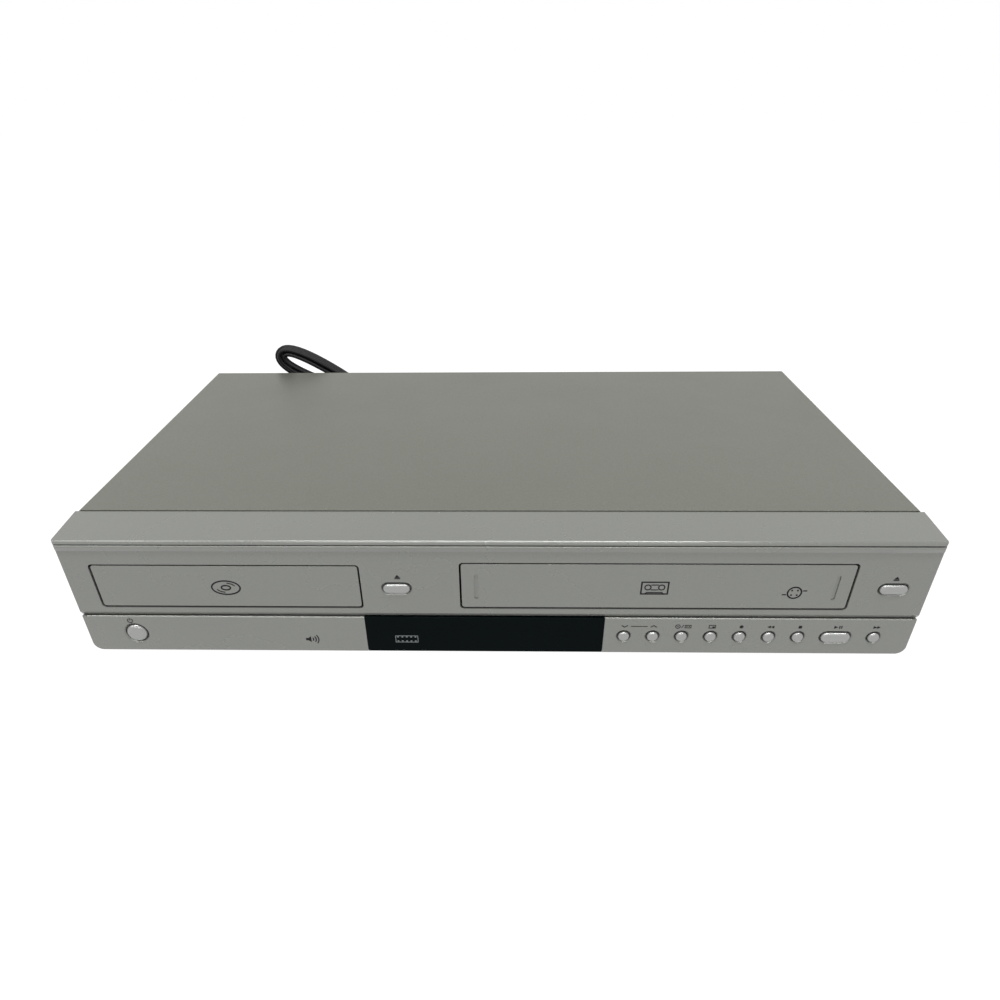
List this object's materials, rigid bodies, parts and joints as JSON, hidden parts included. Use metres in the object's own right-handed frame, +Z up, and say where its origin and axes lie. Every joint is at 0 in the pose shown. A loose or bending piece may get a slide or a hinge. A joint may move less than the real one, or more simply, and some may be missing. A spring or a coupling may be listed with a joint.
{
  "type": "dvd vcr combo player",
  "caption": "Flat silver box player with a sliding disc tray, a flap over a cassette slot, push buttons, a dark display window, rear sockets and a tied power cord.",
  "frame": {"origin": "on the floor, below the middle of the player without its cord", "axes": "+X to the right seen from the front, +Y to the back, +Z up"},
  "size_m": [0.43, 0.3084, 0.1],
  "materials": {
    "case_silver": "satin metallic paint",
    "bezel_silver": "satin metallic paint on plastic",
    "door_silver": "satin metallic paint on plastic",
    "window_black": "gloss, smoke tint",
    "button_silver": "satin metallic",
    "zinc_steel": "zinc plated",
    "black_steel": "matt black paint",
    "board_green": "lacquered circuit board",
    "black_plastic": "moulded",
    "grey_plastic": "moulded",
    "white_plastic": "moulded",
    "motor_steel": "plated",
    "drum_aluminium": "turned",
    "shaft_steel": "ground",
    "roller_rubber": "matt",
    "foot_rubber": "matt",
    "socket_plastic": "moulded",
    "cord_black": "satin vinyl",
    "screw_steel": "plated"
  },
  "bodies": {
    "case": {"top_cover": "case_silver", "front_bezel": "bezel_silver", "lower_trim": "bezel_silver", "display_window": "window_black", "chassis_base": "zinc_steel", "feet": "foot_rubber", "rear_panel": "black_steel", "case_screws": "screw_steel", "main_board": "board_green", "power_board": "board_green", "front_board": "board_green", "av_sockets": "socket_plastic", "aerial_sockets": "motor_steel", "loader_frame": "grey_plastic", "clamp_bridge": "zinc_steel", "tray_motor": "motor_steel", "deck_plate": "zinc_steel", "drum_base": "drum_aluminium", "loading_motor": "motor_steel", "door_spring": "shaft_steel", "strain_relief": "cord_black", "power_cord": "cord_black", "cord_hank": "cord_black", "cord_tie": "black_plastic", "power_plug": "cord_black"},
    "tray": {"disc_tray": "black_plastic", "tray_door": "door_silver"},
    "tray_gear": {"tray_gear": "white_plastic"},
    "tray_pinion": {"tray_pinion": "white_plastic"},
    "traverse": {"traverse_frame": "zinc_steel", "spindle_motor": "motor_steel", "sled_rods": "shaft_steel", "sled_motor": "motor_steel"},
    "turntable": {"turntable": "black_plastic"},
    "clamper": {"clamper": "black_plastic"},
    "sled": {"sled": "grey_plastic"},
    "sled_screw": {"sled_screw": "white_plastic"},
    "head_drum": {"head_drum": "drum_aluminium"},
    "capstan": {"capstan": "shaft_steel"},
    "pinch_arm": {"pinch_arm": "zinc_steel"},
    "pinch_roller": {"pinch_roller": "roller_rubber"},
    "supply_reel": {"supply_reel": "grey_plastic"},
    "take_up_reel": {"take_up_reel": "grey_plastic"},
    "supply_post": {"supply_post": "shaft_steel"},
    "take_up_post": {"take_up_post": "shaft_steel"},
    "holder_sliders": {"holder_sliders": "grey_plastic"},
    "cassette_holder": {"cassette_holder": "zinc_steel"},
    "cassette_door": {"cassette_door": "door_silver"},
    "power_button": {"power_button": "button_silver"},
    "open_button": {"open_button": "button_silver"},
    "eject_button": {"eject_button": "button_silver"},
    "play_button": {"play_button": "button_silver"},
    "channel_down_button": {"channel_down_button": "button_silver"},
    "channel_up_button": {"channel_up_button": "button_silver"},
    "source_button": {"source_button": "button_silver"},
    "view_button": {"view_button": "button_silver"},
    "record_button": {"record_button": "button_silver"},
    "rewind_button": {"rewind_button": "button_silver"},
    "stop_button": {"stop_button": "button_silver"},
    "forward_button": {"forward_button": "button_silver"}
  },
  "joints": [
    {"name": "tray_slide", "type": "slide", "parent": "case", "child": "tray", "axis": [0, -1, 0], "range_m": [0, 0.135]},
    {"name": "tray_gear_spin", "type": "hinge", "parent": "case", "child": "tray_gear", "pos_m": [-0.17995, -0.0975, 0.04], "axis": [0, 0, 1], "range_deg": [-5, 972]},
    {"name": "tray_pinion_spin", "type": "hinge", "parent": "case", "child": "tray_pinion", "pos_m": [-0.17125, -0.0888, 0.04], "axis": [0, 0, 1], "range_deg": [-1939, 5]},
    {"name": "traverse_lift", "type": "slide", "parent": "case", "child": "traverse", "axis": [0, 0, 1], "range_m": [0, 0.01]},
    {"name": "turntable_spin", "type": "hinge", "parent": "traverse", "child": "turntable", "pos_m": [-0.13425, -0.044, 0.0425], "axis": [0, 0, 1], "continuous": true},
    {"name": "clamper_spin", "type": "hinge", "parent": "case", "child": "clamper", "pos_m": [-0.13425, -0.044, 0.06], "axis": [0, 0, 1], "continuous": true},
    {"name": "sled_slide", "type": "slide", "parent": "traverse", "child": "sled", "axis": [0, 1, 0], "range_m": [0, 0.034]},
    {"name": "sled_screw_spin", "type": "hinge", "parent": "traverse", "child": "sled_screw", "pos_m": [-0.10125, 0, 0.0325], "axis": [0, 1, 0], "range_deg": [-5, 2045]},
    {"name": "drum_spin", "type": "hinge", "parent": "case", "child": "head_drum", "pos_m": [0.0803, 0.072, 0.052], "axis": [0, 0, 1], "continuous": true},
    {"name": "capstan_spin", "type": "hinge", "parent": "case", "child": "capstan", "pos_m": [0.1243, 0.046, 0.02], "axis": [0, 0, 1], "continuous": true},
    {"name": "pinch_arm_swing", "type": "hinge", "parent": "case", "child": "pinch_arm", "pos_m": [0.1443, 0.058, 0.026], "axis": [0, 0, 1], "range_deg": [-35, 0]},
    {"name": "pinch_roller_spin", "type": "hinge", "parent": "pinch_arm", "child": "pinch_roller", "pos_m": [0.14079, 0.04393, 0.038], "axis": [0, 0, 1], "continuous": true},
    {"name": "supply_reel_spin", "type": "hinge", "parent": "case", "child": "supply_reel", "pos_m": [0.0343, -0.016, 0.025], "axis": [0, 0, 1], "continuous": true},
    {"name": "take_up_reel_spin", "type": "hinge", "parent": "case", "child": "take_up_reel", "pos_m": [0.1263, -0.016, 0.025], "axis": [0, 0, 1], "continuous": true},
    {"name": "supply_post_swing", "type": "hinge", "parent": "case", "child": "supply_post", "pos_m": [0.0803, 0.072, 0.024], "axis": [0, 0, 1], "range_deg": [-70, 0]},
    {"name": "take_up_post_swing", "type": "hinge", "parent": "case", "child": "take_up_post", "pos_m": [0.0803, 0.072, 0.024], "axis": [0, 0, 1], "range_deg": [0, 70]},
    {"name": "holder_feed", "type": "slide", "parent": "case", "child": "holder_sliders", "axis": [0, 1, 0], "range_m": [0, 0.064]},
    {"name": "holder_drop", "type": "slide", "parent": "holder_sliders", "child": "cassette_holder", "axis": [0, 0, -1], "range_m": [0, 0.014]},
    {"name": "cassette_door_swing", "type": "hinge", "parent": "case", "child": "cassette_door", "pos_m": [0.0803, -0.1135, 0.0653], "axis": [1, 0, 0], "range_deg": [0, 84], "stiffness_Nm_per_rad": 0.02},
    {"name": "power_press", "type": "slide", "parent": "case", "child": "power_button", "axis": [0, 1, 0], "range_m": [0, 0.001], "stiffness_N_per_m": 300},
    {"name": "open_press", "type": "slide", "parent": "case", "child": "open_button", "axis": [0, 1, 0], "range_m": [0, 0.001], "stiffness_N_per_m": 300},
    {"name": "eject_press", "type": "slide", "parent": "case", "child": "eject_button", "axis": [0, 1, 0], "range_m": [0, 0.001], "stiffness_N_per_m": 300},
    {"name": "play_press", "type": "slide", "parent": "case", "child": "play_button", "axis": [0, 1, 0], "range_m": [0, 0.001], "stiffness_N_per_m": 300},
    {"name": "channel_down_press", "type": "slide", "parent": "case", "child": "channel_down_button", "axis": [0, 1, 0], "range_m": [0, 0.001], "stiffness_N_per_m": 300},
    {"name": "channel_up_press", "type": "slide", "parent": "case", "child": "channel_up_button", "axis": [0, 1, 0], "range_m": [0, 0.001], "stiffness_N_per_m": 300},
    {"name": "source_press", "type": "slide", "parent": "case", "child": "source_button", "axis": [0, 1, 0], "range_m": [0, 0.001], "stiffness_N_per_m": 300},
    {"name": "view_press", "type": "slide", "parent": "case", "child": "view_button", "axis": [0, 1, 0], "range_m": [0, 0.001], "stiffness_N_per_m": 300},
    {"name": "record_press", "type": "slide", "parent": "case", "child": "record_button", "axis": [0, 1, 0], "range_m": [0, 0.001], "stiffness_N_per_m": 300},
    {"name": "rewind_press", "type": "slide", "parent": "case", "child": "rewind_button", "axis": [0, 1, 0], "range_m": [0, 0.001], "stiffness_N_per_m": 300},
    {"name": "stop_press", "type": "slide", "parent": "case", "child": "stop_button", "axis": [0, 1, 0], "range_m": [0, 0.001], "stiffness_N_per_m": 300},
    {"name": "forward_press", "type": "slide", "parent": "case", "child": "forward_button", "axis": [0, 1, 0], "range_m": [0, 0.001], "stiffness_N_per_m": 300}
  ],
  "couplings": [
    {"joint": "tray_gear_spin", "follows": "tray_slide", "rad_per_m": 125},
    {"joint": "tray_pinion_spin", "follows": "tray_slide", "rad_per_m": -250},
    {"joint": "sled_screw_spin", "follows": "sled_slide", "rad_per_m": 1047.2},
    {"joint": "take_up_post_swing", "follows": "supply_post_swing", "ratio": -1}
  ]
}
